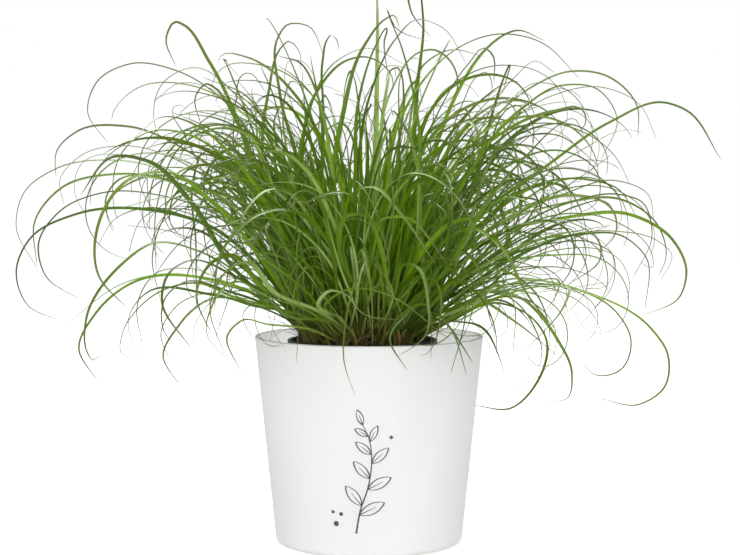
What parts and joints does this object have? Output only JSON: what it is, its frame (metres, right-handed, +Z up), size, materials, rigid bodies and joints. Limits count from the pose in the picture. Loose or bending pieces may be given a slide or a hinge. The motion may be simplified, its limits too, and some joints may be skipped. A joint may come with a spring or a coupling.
{
  "type": "potted umbrella sedge",
  "caption": "Grass-like umbrella sedge: a dense clump of shoots with long arching leaves, in a black nursery pot that stands in a tapered, glossy white plant pot.",
  "frame": {"origin": "centre of the underside of the outer pot, on the surface that it stands on", "axes": "+Z up along the outer pot's axis, -Y towards the front, +X to the right as seen from the front"},
  "size_m": [0.4395, 0.4061, 0.3554],
  "materials": {
    "pot": "glossy white, smooth",
    "nursery_pot": "thin black moulded plastic, satin",
    "soil": "dark moist potting soil, matt and crumbly",
    "leaves": "fresh green leaf, satin above and duller below"
  },
  "bodies": {
    "root": {"pot": "pot", "nursery_pot": "nursery_pot", "soil": "soil", "shoot_01": "leaves", "shoot_02": "leaves", "shoot_03": "leaves", "shoot_04": "leaves", "shoot_05": "leaves", "shoot_06": "leaves", "shoot_07": "leaves", "shoot_08": "leaves", "shoot_09": "leaves", "shoot_10": "leaves", "shoot_11": "leaves", "shoot_12": "leaves", "shoot_13": "leaves", "shoot_14": "leaves", "shoot_15": "leaves", "shoot_16": "leaves", "shoot_17": "leaves", "shoot_18": "leaves", "shoot_19": "leaves", "shoot_20": "leaves", "shoot_21": "leaves", "shoot_22": "leaves", "shoot_23": "leaves", "shoot_24": "leaves", "shoot_25": "leaves", "shoot_26": "leaves", "shoot_27": "leaves", "shoot_28": "leaves", "shoot_29": "leaves", "shoot_30": "leaves", "shoot_31": "leaves", "shoot_32": "leaves", "shoot_33": "leaves", "shoot_34": "leaves", "shoot_35": "leaves", "shoot_36": "leaves", "shoot_37": "leaves", "shoot_38": "leaves", "shoot_39": "leaves", "shoot_40": "leaves", "shoot_41": "leaves", "shoot_42": "leaves", "shoot_43": "leaves", "shoot_44": "leaves", "shoot_45": "leaves", "shoot_46": "leaves", "shoot_47": "leaves", "shoot_48": "leaves", "shoot_49": "leaves", "shoot_50": "leaves"}
  },
  "joints": []
}
